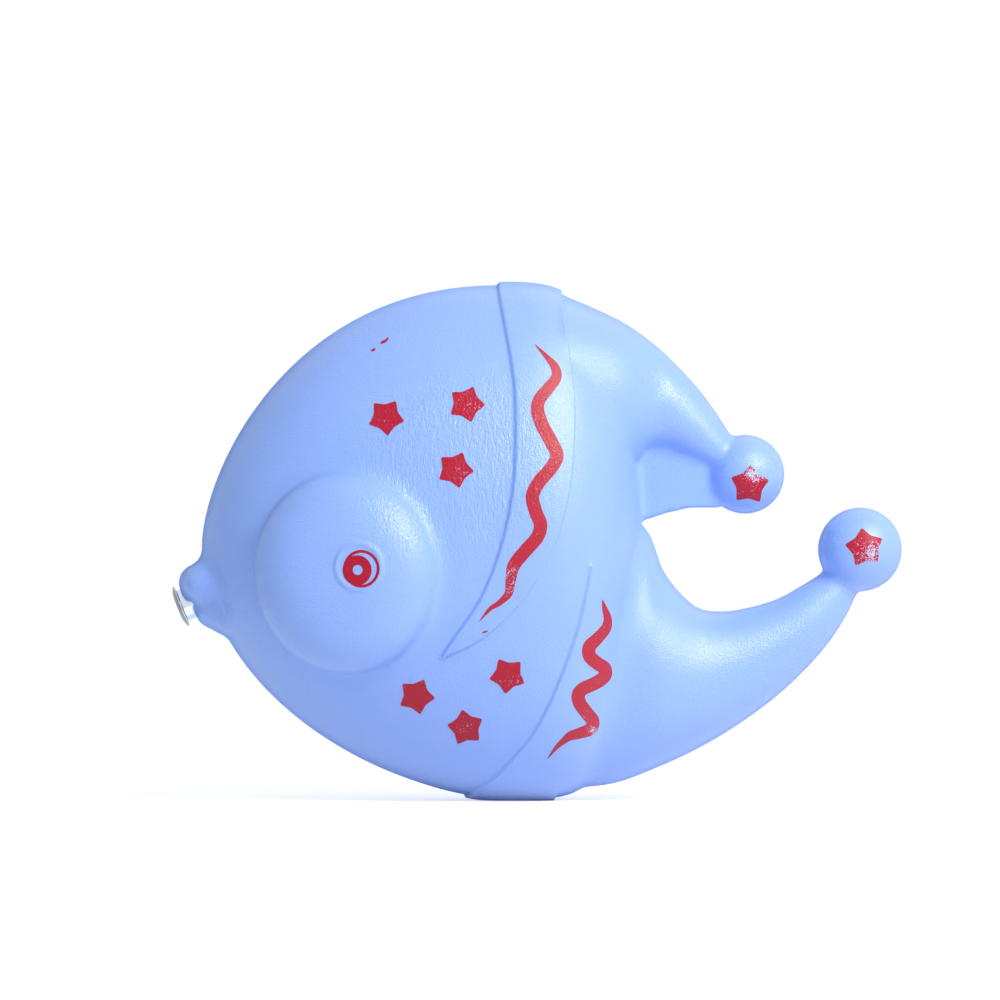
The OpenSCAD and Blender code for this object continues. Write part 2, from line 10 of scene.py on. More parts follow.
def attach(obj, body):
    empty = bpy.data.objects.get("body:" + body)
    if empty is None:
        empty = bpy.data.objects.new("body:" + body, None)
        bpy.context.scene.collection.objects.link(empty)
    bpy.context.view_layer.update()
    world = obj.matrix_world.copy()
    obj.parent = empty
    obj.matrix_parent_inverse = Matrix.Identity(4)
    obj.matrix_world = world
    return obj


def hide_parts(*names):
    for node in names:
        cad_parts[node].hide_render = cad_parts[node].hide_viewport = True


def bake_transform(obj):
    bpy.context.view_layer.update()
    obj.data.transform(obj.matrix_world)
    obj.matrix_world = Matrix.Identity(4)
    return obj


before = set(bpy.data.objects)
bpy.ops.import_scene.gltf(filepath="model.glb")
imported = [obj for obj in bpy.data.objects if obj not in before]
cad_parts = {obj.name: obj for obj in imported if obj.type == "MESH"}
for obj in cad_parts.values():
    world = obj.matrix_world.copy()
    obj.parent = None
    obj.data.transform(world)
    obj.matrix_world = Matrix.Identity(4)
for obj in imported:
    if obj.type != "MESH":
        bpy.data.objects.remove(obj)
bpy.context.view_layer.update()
mm = 0.001
print("frame loaded,", len(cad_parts), "nodes")

scene = bpy.context.scene
scene.view_settings.view_transform = "Standard"
sideNames = {-1: "left", 1: "right"}  # by the sign of y, the camera looks at the left

# body sizes in millimetres as in the solid, then how fine the skin and its lining are
fish = {
    "headLen": 50.0,
    "rearLen": 22.4,
    "bodyHeight": 84.4,
    "upHeight": 42.6,
    "downHeight": 42.2,
    "halfThick": 25.0,
    "axisHeight": 42.35,
    "headTop": 2.25,
    "headTip": 1.6,
    "headUnder": 1.65,
    "headPlan": 2.0,
    "rearTop": 3.1,
    "rearUnder": 4.4,
    "rearPlan": 2.8,
    "voxel": 0.55,
    "innerVoxel": 1.6,
    "wall": 1.6,
}


def sections(x):  # height over the axis, depth under it and half thickness at a station
    x = np.asarray(x, float)
    ahead = x < 0
    away = np.minimum(1.0, np.abs(x) / np.where(ahead, fish["headLen"], fish["rearLen"]))

    def share(headPower, rearPower, tipPower=2.0):
        left = np.maximum(0.0, 1 - away ** np.where(ahead, headPower, rearPower))
        return left ** (1 / np.where(ahead, tipPower, 2.0))

    return (
        fish["upHeight"] * share(fish["headTop"], fish["rearTop"], fish["headTip"]),
        fish["downHeight"] * share(fish["headUnder"], fish["rearUnder"]),
        fish["halfThick"] * share(fish["headPlan"], fish["rearPlan"]),
    )


def along(share):  # place along the fish from a share of the head's or the rear's length
    share = np.asarray(share, float)
    return share * np.where(share < 0, fish["headLen"], fish["rearLen"])


def upright(share):  # height from a share of the body's height over its axis
    return fish["axisHeight"] + np.asarray(share, float) * fish["bodyHeight"]


def smoothRow(rows, t):  # smooth curve through the rows, t counts rows
    rows = np.asarray(rows, float)
    last = len(rows) - 1
    i = np.clip(np.floor(t).astype(int), 0, last - 1)
    f = (t - i)[..., None]
    a, b, c, d = rows[np.maximum(i - 1, 0)], rows[i], rows[i + 1], rows[np.minimum(i + 2, last)]
    return (2 * b + (c - a) * f + (2 * a - 5 * b + 4 * c - d) * f**2 + (3 * b - a - 3 * c + d) * f**3) / 2


def smoothStep(value, low, high):
    t = np.clip((value - low) / (high - low), 0, 1)
    return t * t * (3 - 2 * t)


def readPoints(bm):
    return np.array([v.co[:] for v in bm.verts])


def placePoints(bm, points):
    for v, p in zip(bm.verts, points):
        v.co = p


def bodyBlank():  # ball drawn out to the body's sections
    bm = bmesh.new()
    bmesh.ops.create_uvsphere(bm, u_segments=160, v_segments=112, radius=1)
    p = readPoints(bm)
    x = np.where(p[:, 2] < 0, p[:, 2] * fish["headLen"], p[:, 2] * fish["rearLen"])
    turn = np.arctan2(p[:, 1], p[:, 0])
    top, under, thick = sections(x)
    up = np.cos(turn)
    z = fish["axisHeight"] + up * np.where(up > 0, top, under)
    placePoints(bm, np.stack([x, np.sin(turn) * thick, z], 1))
    bmesh.ops.recalc_face_normals(bm, faces=bm.faces[:])
    return bm


# tail horns as rungs from the body to the tip: outer edge, inner edge and half thickness as shares,
# balls as place and radius, and the corners of the web
tail = {
    "upperHorn": [
        [0.424, 0.486, 0.500, 0.130, 0.330],
        [0.836, 0.437, 0.919, 0.146, 0.245],
        [1.104, 0.388, 1.059, 0.178, 0.155],
        [1.288, 0.342, 1.160, 0.178, 0.136],
        [1.435, 0.299, 1.262, 0.170, 0.122],
        [1.553, 0.256, 1.379, 0.158, 0.108],
        [1.658, 0.213, 1.496, 0.143, 0.093],
        [1.729, 0.182, 1.598, 0.127, 0.078],
    ],
    "lowerHorn": [
        [0.422, -0.480, 0.715, 0.053, 0.279],
        [0.791, -0.470, 1.027, 0.031, 0.257],
        [1.104, -0.440, 1.179, -0.059, 0.243],
        [1.435, -0.399, 1.397, -0.122, 0.206],
        [1.729, -0.352, 1.598, -0.133, 0.174],
        [1.989, -0.301, 1.804, -0.125, 0.147],
        [2.197, -0.250, 2.012, -0.108, 0.122],
        [2.377, -0.196, 2.189, -0.082, 0.100],
        [2.517, -0.139, 2.336, -0.057, 0.078],
        [2.630, -0.072, 2.483, -0.025, 0.054],
    ],
    "balls": [[1.767, 0.135, 6.5], [2.614, -0.012, 6.9]],
    "web": [
        [0.942, 0.20], [1.620, 0.15], [1.572, 0.07], [1.356, 0.07],
        [1.179, 0.059], [1.018, 0.045], [0.904, 0.08],
    ],
    "webHalf": 3.0,
}


def placed(shares):  # x and z from shares
    return float(along(shares[0])), float(upright(shares[1]))


def onMiddle(shares):  # shares to a point of the middle plane
    x, z = placed(shares)
    return Vector((x, 0, z))


def hornBlank(rungs):  # cylinder drawn along the rungs
    bm = bmesh.new()
    bmesh.ops.create_cone(bm, cap_ends=True, cap_tris=False, segments=48, radius1=1, radius2=1, depth=2)
    longEdges = [e for e in bm.edges if abs(e.verts[0].co.z - e.verts[1].co.z) > 1]
    bmesh.ops.subdivide_edges(bm, edges=longEdges, cuts=80)
    p = readPoints(bm)
    s = np.array(rungs).T
    half = 2 * s[4] * fish["halfThick"]
    sized = np.stack([along(s[0]), upright(s[1]), along(s[2]), upright(s[3]), half], 1)
    g = smoothRow(sized, (p[:, 2] + 1) / 2 * (len(rungs) - 1))
    turn = np.arctan2(p[:, 1], p[:, 0])
    x = (g[:, 0] + g[:, 2]) / 2 + (g[:, 0] - g[:, 2]) / 2 * np.cos(turn)
    z = (g[:, 1] + g[:, 3]) / 2 + (g[:, 1] - g[:, 3]) / 2 * np.cos(turn)
    placePoints(bm, np.stack([x, g[:, 4] * np.sin(turn), z], 1))
    bmesh.ops.recalc_face_normals(bm, faces=bm.faces[:])
    return bm


def webBlank():  # flat web under the upper horn
    bm = bmesh.new()
    corners = [bm.verts.new(onMiddle(s) - Vector((0, tail["webHalf"], 0))) for s in tail["web"]]
    face = bm.faces.new(corners)
    raised = bmesh.ops.extrude_face_region(bm, geom=[face])["geom"]
    farSide = [v for v in raised if isinstance(v, bmesh.types.BMVert)]
    bmesh.ops.translate(bm, vec=(0, 2 * tail["webHalf"], 0), verts=farSide)
    bmesh.ops.recalc_face_normals(bm, faces=bm.faces[:])
    return bm


def ballBlank(ball):
    bm = bmesh.new()
    place = Matrix.Translation(onMiddle(ball))
    bmesh.ops.create_uvsphere(bm, u_segments=96, v_segments=64, radius=ball[2], matrix=place)
    return bm


# flat-topped eye domes that look a little forward, with a low pupil disc, its bead and its print
eye = {
    "ahead": 25.6,
    "drop": 4.6,
    "sink": 2.0,
    "yaw": 15.0,
    "rimR": 16.5,
    "rimAcross": 15.7,
    "height": 8.0,
    "fullness": 3.0,
    "skirt": 8,
    "pupilR": 4.2,
    "pupilBehind": 4.2,
    "pupilUp": 1.0,
    "pupilRise": 0.04,
    "pupilSoft": 0.2,
    "bead": 0.24,
    "beadWidth": 0.36,
    "beadInset": 0.5,
    "fineRound": 0.9,
    "ringR": 3.04,
    "ringWidth": 0.46,
    "spotR": 2.42,
    "dotR": 0.82,
    "ring": [0.14, -0.11],
    "spot": [-0.08, -0.19],
    "dot": [-0.05, -0.17],
}


def sideY(x, z):  # half thickness of the bare body at a point of its side
    top, under, thick = sections(x)
    r = np.where(z > fish["axisHeight"], top, under)
    return thick * np.sqrt(np.maximum(0.0, 1 - ((z - fish["axisHeight"]) / r) ** 2))


def eyeFrame(side):  # out along its z, toward the tail along its x
    x, z = -eye["ahead"], fish["axisHeight"] - eye["drop"]
    yaw = math.radians(eye["yaw"])
    y = float(sideY(x, z)) - eye["sink"]
    out = Vector((-math.sin(yaw), side * math.cos(yaw), 0))
    rear = Vector((math.cos(yaw), side * math.sin(yaw), 0))
    turn = Matrix((rear, out.cross(rear), out)).transposed()
    return Matrix.Translation((x, side * y, z)) @ turn.to_4x4()


def domeHeight(share):  # height of a dome at a share of its rim's radius
    return eye["height"] * np.sqrt(np.maximum(0.0, 1 - share ** eye["fullness"]))


def domeBlank(side):  # ball pressed to a flat-topped dome, with a steep skirt below
    bm = bmesh.new()
    bmesh.ops.create_uvsphere(bm, u_segments=128, v_segments=96, radius=1)
    p = readPoints(bm)
    r = np.minimum(1.0, np.hypot(p[:, 0], p[:, 1]))
    z = np.where(p[:, 2] > 0, domeHeight(r), -eye["height"] * np.sqrt(1 - r ** eye["skirt"]))
    placePoints(bm, np.stack([p[:, 0] * eye["rimAcross"], p[:, 1] * eye["rimR"], z], 1))
    bmesh.ops.transform(bm, matrix=eyeFrame(side), verts=bm.verts[:])
    return bm


def pupilMiddle(side):  # on the dome, under the pupil's disc
    behind = eye["pupilBehind"]
    spot = eyeFrame(side) @ Vector((behind, 0, float(domeHeight(behind / eye["rimAcross"]))))
    return spot + Vector((0, 0, eye["pupilUp"]))


# mouth with its two lips, in a frame that has z out of the mouth and x up
mouth = {
    "x": -53.2,
    "z": 32.05,
    "droop": 22.0,
    "upperR": 3.1,
    "upperRise": 2.6,
    "lowerR": 2.2,
    "lowerDrop": 2.9,
    "back": 3.7,
    "halfWidth": 4.2,
    "bow": 0.8,
    "bowShare": 0.12,
    "lean": 3.2,
    "depth": 2.7,
}
mouthTurn = Matrix.Rotation(math.radians(-90 - mouth["droop"]), 4, "Y")
mouthFrame = Matrix.Translation((mouth["x"], 0, mouth["z"])) @ mouthTurn


def lipBlank(rise, rollR, rootRise):  # roll across the mouth, run back into the head
    bm = bmesh.new()
    span = 0.5  # share of the half width that one hull covers
    for spot in (-1.0, -0.5, 0.0, 0.5):
        made = []
        for s in (spot, spot + span):
            for high, back in ((rise, mouth["back"]), (rootRise, mouth["back"] + mouth["depth"])):
                up = high * (1 - mouth["bowShare"] * s * s)
                mid = Vector((up, s * mouth["halfWidth"], -back - mouth["bow"] * s * s))
                ball = bmesh.ops.create_uvsphere(
                    bm, u_segments=24, v_segments=16, radius=rollR, matrix=Matrix.Translation(mid)
                )
                made += ball["verts"]
        hull = bmesh.ops.convex_hull(bm, input=made)
        inner = [g for g in hull["geom_interior"] + hull["geom_unused"] if isinstance(g, bmesh.types.BMVert)]
        bmesh.ops.delete(bm, geom=list(set(inner)), context="VERTS")
    bmesh.ops.transform(bm, matrix=mouthFrame, verts=bm.verts[:])
    bmesh.ops.recalc_face_normals(bm, faces=bm.faces[:])
    return bm


def joined(blanks):
    whole = bmesh.new()
    for blank in blanks:
        mesh = bpy.data.meshes.new("blank")
        blank.to_mesh(mesh)
        whole.from_mesh(mesh)
        bpy.data.meshes.remove(mesh)
        blank.free()
    return whole


def remeshed(bm, voxel):  # one closed skin round everything in bm
    mesh = bpy.data.meshes.new("blank")
    bm.to_mesh(mesh)
    bm.free()
    obj = bpy.data.objects.new("blank", mesh)
    scene.collection.objects.link(obj)
    remesh = obj.modifiers.new("skin", "REMESH")
    remesh.mode = "VOXEL"
    remesh.voxel_size = voxel
    made = bpy.data.meshes.new_from_object(obj.evaluated_get(bpy.context.evaluated_depsgraph_get()))
    bpy.data.objects.remove(obj)
    bpy.data.meshes.remove(mesh)
    return made


# shares of a crease that are filled, with the stretches over which each share comes in:
# along the fish, out from its middle, up from its axis, off a ball, or by how far the skin faces sideways
crease = {
    "everywhere": 0.02,
    "roots": 0.98,
    "rootsAlong": (5, 13),
    "rootsFacing": (0.15, 0.5),
    "webKept": 0.9,
    "webAlong": (18, 21),
    "webOver": (1, 4),
    "webUnder": (18, 15),
    "webWithin": (8, 5),
    "lips": 0.8,
    "lipsAlong": (-45, -48),
    "eyeRims": 0.45,
    "rimsAlong": (-34, -16),
    "rimsEnd": (0, -3),
    "rimsBeyond": (12, 16),
    "atBall": 0.05,
    "offBall": (0.5, 6),
}


def creaseWeight(co, out):  # from the skin's points and normals
    x, away, up = co[:, 0], np.abs(co[:, 1]), co[:, 2] - fish["axisHeight"]

    def within(value, stretch):
        return smoothStep(value, *crease[stretch])

    roots = within(x, "rootsAlong") * within(np.abs(out[:, 1]), "rootsFacing")
    web = within(x, "webAlong") * within(up, "webOver") * within(up, "webUnder") * within(away, "webWithin")
    rims = within(x, "rimsAlong") * within(x, "rimsEnd") * within(away, "rimsBeyond")
    weight = crease["everywhere"] + crease["roots"] * roots * (1 - crease["webKept"] * web)
    weight = weight + crease["lips"] * within(x, "lipsAlong") + crease["eyeRims"] * rims
    for ball in tail["balls"]:
        off = np.linalg.norm(co - np.array(onMiddle(ball)), axis=1) - ball[2]
        weight = np.minimum(weight, crease["atBall"] + (1 - crease["atBall"]) * within(off, "offBall"))
    return weight


# steps of a point toward the middle of its neighbours and back, and those that fill a crease
evening = {
    "passes": 4,
    "step": 0.5,
    "backStep": -0.48,
    "fillStep": 0.6,
    "fillFade": 3,
    "fills": 60,
    "innerFills": 4,
}


def relaxed(mesh, fills):  # evens the skin and fills its creases
    n = len(mesh.vertices)
    co = np.empty(n * 3)
    mesh.vertices.foreach_get("co", co)
    co = co.reshape(-1, 3)
    pairs = np.empty(len(mesh.edges) * 2, int)
    mesh.edges.foreach_get("vertices", pairs)
    a, b = pairs.reshape(-1, 2).T
    count = np.bincount(a, minlength=n) + np.bincount(b, minlength=n)
    loops = np.empty(len(mesh.loops), int)
    mesh.loops.foreach_get("vertex_index", loops)
    quads = loops.reshape(-1, 4)  # a voxel skin is all quads

    def pull(p):
        mean = np.stack([np.bincount(a, p[b, k], n) + np.bincount(b, p[a, k], n) for k in range(3)], 1)
        return mean / count[:, None] - p

    def normals(p):
        face = np.cross(p[quads[:, 2]] - p[quads[:, 0]], p[quads[:, 3]] - p[quads[:, 1]])
        out = np.stack([sum(np.bincount(quads[:, c], face[:, k], n) for c in range(4)) for k in range(3)], 1)
        return out / np.maximum(1e-12, np.linalg.norm(out, axis=1))[:, None]

    def evened(p):
        for k in range(evening["passes"]):
            p = p + (evening["step"] if k % 2 == 0 else evening["backStep"]) * pull(p)
        return p

    co = evened(co)
    weight = creaseWeight(co, normals(co))
    fade = evening["fillFade"]
    for k in range(fills):
        step = pull(co)
        hollow = np.sum(step * normals(co), 1) > 0
        share = hollow * np.clip(weight - k / fills, 0, 1 / fade) * fade
        co = co + evening["fillStep"] * step * share[:, None]
    co = evened(co)
    mesh.vertices.foreach_set("co", co.ravel())
    mesh.update()
    return mesh


def blanks():
    return [
        bodyBlank(),
        hornBlank(tail["upperHorn"]),
        hornBlank(tail["lowerHorn"]),
        webBlank(),
        *[ballBlank(ball) for ball in tail["balls"]],
        *[domeBlank(side) for side in sideNames],
        lipBlank(mouth["upperRise"], mouth["upperR"], mouth["upperRise"]),
        lipBlank(-mouth["lowerDrop"], mouth["lowerR"], -mouth["lowerDrop"] - mouth["lean"]),
    ]


# raised bands: how high and how soft, and rows of turn from the top, front edge and rear edge as shares
band = {
    "upperRelief": 0.56,
    "upperFront": 0.36,
    "lowerRelief": 0.52,
    "lowerFront": 0.26,
    "rear": 0.16,
    "finer": 1.1,
    "finest": 0.5,
    "perRow": 12,
    "upper": [
        [0, -0.023, 0.408], [18, -0.020, 0.420], [35, 0, 0.449], [52, 0.062, 0.495],
        [65, 0.074, 0.497], [78, 0.054, 0.460], [91, -0.016, 0.346], [102, -0.079, 0.135],
        [111, -0.160, -0.069], [116.5, -0.206, -0.194],
    ],
    "lower": [
        [180, -0.132, 0.353], [163, -0.084, 0.415], [146, 0.051, 0.672], [137, 0.201, 0.750],
        [127, 0.330, 0.786], [117, 0.444, 0.800], [108, 0.533, 0.774], [99, 0.594, 0.682],
        [95, 0.614, 0.634],
    ],
}


def bandDepth(co, rows):  # distance behind a band's front edge and ahead of its rear edge
    x = co[:, 0]
    top, under, thick = sections(x)
    up = co[:, 2] - fish["axisHeight"]
    high = up / np.maximum(np.where(up > 0, top, under), 1e-3)
    turn = np.degrees(np.arctan2(np.abs(co[:, 1]) / np.maximum(thick, 1e-3), high))
    sized = np.array([[row[0], along(row[1]), along(row[2])] for row in rows], float)
    fine = smoothRow(sized, np.linspace(0, len(rows) - 1, band["perRow"] * len(rows)))
    fine = fine[np.argsort(fine[:, 0])]
    front = x - np.interp(turn, fine[:, 0], fine[:, 1])
    rear = np.interp(turn, fine[:, 0], fine[:, 2]) - x
    front[(turn < fine[0, 0]) | (turn > fine[-1, 0])] = -fish["headLen"]  # past a band's ends, so well off it
    return front, rear


def nearBand(co, reach):
    return np.minimum(*(np.abs(np.minimum(*bandDepth(co, band[k]))) for k in ("upper", "lower"))) < reach


def refined(bm, near):  # halves the edges where near() is true
    p = readPoints(bm)
    pick = near(p)
    bm.verts.index_update()
    edges = [e for e in bm.edges if pick[e.verts[0].index] and pick[e.verts[1].index]]
    bmesh.ops.subdivide_edges(bm, edges=edges, cuts=1, use_grid_fill=True)
    bm.normal_update()


def raiseBands(bm):
    p = readPoints(bm)
    normal = np.array([v.normal[:] for v in bm.verts])
    for k in ("upper", "lower"):
        front, rear = bandDepth(p, band[k])
        soft = band[k + "Front"]
        lift = smoothStep(front, -soft, soft) * smoothStep(rear, -band["rear"], band["rear"])
        p += normal * (band[k + "Relief"] * lift)[:, None]
    p[:, 2] = np.maximum(p[:, 2], 0)  # flat it rests on
    placePoints(bm, p)


def raisePupil(bm, side):  # low disc with a bead round it, on the dome
    p = readPoints(bm)
    out = np.array(eyeFrame(side).col[2][:3])
    r = np.linalg.norm(p - np.array(pupilMiddle(side)), axis=1)
    lift = eye["pupilRise"] * smoothStep(eye["pupilR"] - r, -eye["pupilSoft"], eye["pupilSoft"])
    lift += eye["bead"] * np.exp(-(((r - eye["pupilR"] + eye["beadInset"]) / eye["beadWidth"]) ** 2))
    placePoints(bm, p + np.outer(lift, out))


def skinOf(voxel, fills):  # one even skin round all the blanks
    mesh = relaxed(remeshed(joined(blanks()), voxel), fills)
    bm = bmesh.new()
    bm.from_mesh(mesh)
    bpy.data.meshes.remove(mesh)
    return bm


def nearRelief(p):  # close to a band's edge or a pupil's rim
    near = nearBand(p, band["finer"])
    for side in sideNames:
        mid = pupilMiddle(side)
        r = np.hypot(p[:, 0] - mid.x, p[:, 2] - mid.z)
        near |= (r < eye["pupilR"] + eye["fineRound"]) & (p[:, 1] * side > 0)
    return near


skin = skinOf(fish["voxel"], evening["fills"])
print("skin remeshed,", len(skin.verts), "points")
refined(skin, nearRelief)
refined(skin, lambda p: nearBand(p, band["finest"]))
raiseBands(skin)
for side in sideNames:
    raisePupil(skin, side)
bmesh.ops.recalc_face_normals(skin, faces=skin.faces[:])
print("bands and pupils raised,", len(skin.faces), "faces")

inner = skinOf(fish["innerVoxel"], evening["innerFills"])  # lining, turned inward
inner.normal_update()
for v in inner.verts:
    v.co -= v.normal * fish["wall"]
bmesh.ops.smooth_vert(
    inner, verts=inner.verts[:], factor=0.5, use_axis_x=True, use_axis_y=True, use_axis_z=True
)
bmesh.ops.reverse_faces(inner, faces=inner.faces[:])


def halfOf(bm, side):
    half = bm.copy()
    geom = half.verts[:] + half.edges[:] + half.faces[:]
    bmesh.ops.bisect_plane(
        half, geom=geom, dist=1e-4, plane_co=(0, 0, 0), plane_no=(0, -side, 0), clear_outer=True
    )
    for v in half.verts:
        if abs(v.co.y) < 1e-3:  # on the cut
            v.co.y = 0
    return half


def finished(bm, name):  # millimetres to metres, as an object at the origin
    bmesh.ops.scale(bm, vec=(mm, mm, mm), verts=bm.verts[:])
    mesh = bpy.data.meshes.new(name)
    bm.to_mesh(mesh)
    bm.free()
    obj = bpy.data.objects.new(name, mesh)
    scene.collection.objects.link(obj)
    return obj


def followSide(obj):
    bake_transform(obj)


skinHalves = {}
surface = {}  # outer skin that the prints are laid on
for side in sideNames:
    half = halfOf(skin, side)
    surface[side] = BVHTree.FromBMesh(half)
    lining = bpy.data.meshes.new("lining")
    innerHalf = halfOf(inner, side)
    innerHalf.to_mesh(lining)
    innerHalf.free()
    half.from_mesh(lining)
    bpy.data.meshes.remove(lining)
    rim = [e for e in half.edges if e.is_boundary]
    for e in rim:
        e.smooth = False
    bmesh.ops.triangle_fill(half, use_beauty=True, use_dissolve=False, edges=rim, normal=(0, -side, 0))
    for f in half.faces:
        f.smooth = True
    skinHalves[side] = finished(half, sideNames[side] + "Skin")
skin.free()
inner.free()
print("skin halves:", [len(o.data.polygons) for o in skinHalves.values()])

# printed films: height over the skin, thickness, how far one lies over another and where it drops from
film = {"lift": 0.05, "thick": 0.1, "over": 0.01, "dropFrom": 60}

# printed stars as place in shares and turn of a tip, worn spots as place, reach and amount,
# stray flecks as place, half length, half width and turn
star = {
    "radius": 3.08,
    "ballRadius": 3.3,
    "waist": 0.67,
    "round": 0.28,
    "body": [
        [-0.386, 0.244, -85], [-0.125, 0.269, -75], [-0.161, 0.143, -77],
        [-0.288, -0.293, -78], [0.019, -0.252, -97], [-0.128, -0.354, 100],
    ],
    "onBalls": [[0.09, -0.27, 86], [0.07, 0.05, 99]],
    "worn": [
        [1.833, 0.138, 1.8, 0.25], [2.68, -0.018, 2.5, 0.22], [-0.104, 0.262, 1.6, 0.09],
        [-0.140, 0.134, 1.6, 0.09], [-0.146, -0.359, 1.5, 0.1], [0.1, -0.257, 1.3, 0.1],
    ],
    "flecks": [
        [-0.396, 0.391, 0.62, 0.24, 25], [-0.385, 0.396, 0.3, 0.2, 60], [-0.430, 0.375, 0.4, 0.22, 30],
    ],
}


def laidOn(bm, side, lift):  # drops a flat film onto the skin along the thickness
    for v in bm.verts:
        above = Vector((v.co.x, side * film["dropFrom"], v.co.z))
        spot, normal, _, _ = surface[side].ray_cast(above, Vector((0, -side, 0)))
        v.co = spot + normal * lift


def turnedOut(bm, side):  # faces of a film point away from the skin
    bmesh.ops.recalc_face_normals(bm, faces=bm.faces[:])
    bm.normal_update()
    if sum(f.normal.y for f in bm.faces) * side < 0:
        bmesh.ops.reverse_faces(bm, faces=bm.faces[:])
    bm.normal_update()


def thickened(bm, side):  # lowers a copy into the skin and closes the rim
    turnedOut(bm, side)
    shift = {v: v.normal * film["thick"] for v in bm.verts}
    copy = bmesh.ops.duplicate(bm, geom=bm.verts[:] + bm.edges[:] + bm.faces[:])
    for v, low in copy["vert_map"].items():
        if v in shift:
            low.co = v.co - shift[v]
    bmesh.ops.reverse_faces(bm, faces=[f for f in copy["geom"] if isinstance(f, bmesh.types.BMFace)])
    bmesh.ops.bridge_loops(bm, edges=[e for e in bm.edges if e.is_boundary])
    bmesh.ops.recalc_face_normals(bm, faces=bm.faces[:])
    return bm


def starFilm(side, x, z, r, tip):
    bm = bmesh.new()
    corners = bmesh.ops.create_circle(bm, cap_ends=True, segments=10, radius=r)["verts"]
    for j, v in enumerate(corners):
        reach = r if j % 2 == 0 else r * star["waist"]
        turn = math.radians(tip + 36 * j)  # tips and waists by turns
        v.co = (x + reach * math.cos(turn), 0, z + reach * math.sin(turn))
    bmesh.ops.bevel(
        bm, geom=corners, offset=star["round"], offset_type="OFFSET", segments=3, profile=0.5,
        affect="VERTICES", material=-1,
    )
    bmesh.ops.poke(bm, faces=bm.faces[:])
    bmesh.ops.subdivide_edges(bm, edges=bm.edges[:], cuts=4, use_grid_fill=True)
    laidOn(bm, side, film["lift"])
    return thickened(bm, side)


# printed waves: centre line in shares with the share of the full width, worn spots and flecks as for the stars
wave = {
    "halfWidth": 1.08,
    "tip": 0.04,
    "look": 0.05,
    "upper": [
        [0.218, 0.384, 0.05], [0.297, 0.362, 0.35], [0.362, 0.340, 0.65], [0.370, 0.320, 0.8],
        [0.312, 0.299, 0.9], [0.248, 0.277, 0.95], [0.236, 0.255, 1], [0.271, 0.227, 1],
        [0.336, 0.195, 1], [0.374, 0.170, 1], [0.332, 0.146, 1], [0.245, 0.119, 1],
        [0.198, 0.092, 1], [0.221, 0.062, 1], [0.256, 0.037, 1], [0.230, 0.013, 1],
        [0.145, -0.013, 1], [0.063, -0.041, 0.95], [0.040, -0.070, 0.75], [0.025, -0.094, 0.6],
        [-0.018, -0.112, 0.42], [-0.049, -0.124, 0.3], [-0.083, -0.148, 0.05],
    ],
    "lower": [
        [0.704, -0.107, 0.05], [0.723, -0.125, 0.4], [0.744, -0.145, 0.62], [0.729, -0.163, 0.8],
        [0.671, -0.181, 0.9], [0.612, -0.197, 1], [0.612, -0.215, 1], [0.666, -0.229, 1],
        [0.722, -0.240, 1], [0.722, -0.255, 1], [0.654, -0.268, 1], [0.562, -0.279, 1],
        [0.530, -0.292, 1], [0.545, -0.308, 1], [0.591, -0.325, 1], [0.637, -0.342, 1],
        [0.622, -0.357, 0.95], [0.545, -0.365, 0.85], [0.476, -0.370, 0.7], [0.430, -0.379, 0.5],
        [0.372, -0.393, 0.3], [0.309, -0.415, 0.05],
    ],
    "worn": [[0.047, -0.068, 2.4, 0.13], [0.643, -0.360, 0.9, 0.2]],
    "flecks": [[-0.065, -0.168, 0.55, 0.16, 20]],
}


def waveFilm(side, rows):
    bm = bmesh.new()
    bmesh.ops.create_grid(bm, x_segments=14 * len(rows), y_segments=8, size=1)
    p = readPoints(bm)
    t = (p[:, 0] + 1) / 2 * (len(rows) - 1)
    s = np.array(rows).T
    sized = np.stack([along(s[0]), upright(s[1]), s[2]], 1)
    row = smoothRow(sized, t)
    after = smoothRow(sized, np.minimum(t + wave["look"], len(rows) - 1))
    ahead = after - smoothRow(sized, np.maximum(t - wave["look"], 0))
    across = np.stack([-ahead[:, 1], ahead[:, 0]], 1) / np.hypot(ahead[:, 0], ahead[:, 1])[:, None]
    width = wave["halfWidth"] * np.maximum(wave["tip"], row[:, 2]) * p[:, 1]
    x = row[:, 0] + across[:, 0] * width
    z = row[:, 1] + across[:, 1] * width
    placePoints(bm, np.stack([x, 0 * x, z], 1))
    laidOn(bm, side, film["lift"])
    return thickened(bm, side)


def fleckFilm(side, x, z, long, wide, turn):  # stray drop of paint
    bm = bmesh.new()
    for v in bmesh.ops.create_circle(bm, cap_ends=True, segments=9, radius=1)["verts"]:
        spot = Matrix.Rotation(math.radians(turn), 2) @ Vector((v.co.x * long, v.co.y * wide))
        v.co = (x + spot.x, 0, z + spot.y)
    bmesh.ops.poke(bm, faces=bm.faces[:])
    laidOn(bm, side, film["lift"])
    return thickened(bm, side)


def rubbed(bm, spots):  # marks where the print is worn
    layer = bm.verts.layers.float.new("wear")
    p = readPoints(bm)
    wear = np.zeros(len(p))
    for s in spots:
        away = np.hypot(p[:, 0] - along(s[0]), p[:, 2] - upright(s[1]))
        wear += s[3] * np.exp(-((away / s[2]) ** 2))
    for v, w in zip(bm.verts, wear):
        v[layer] = w
    return bm


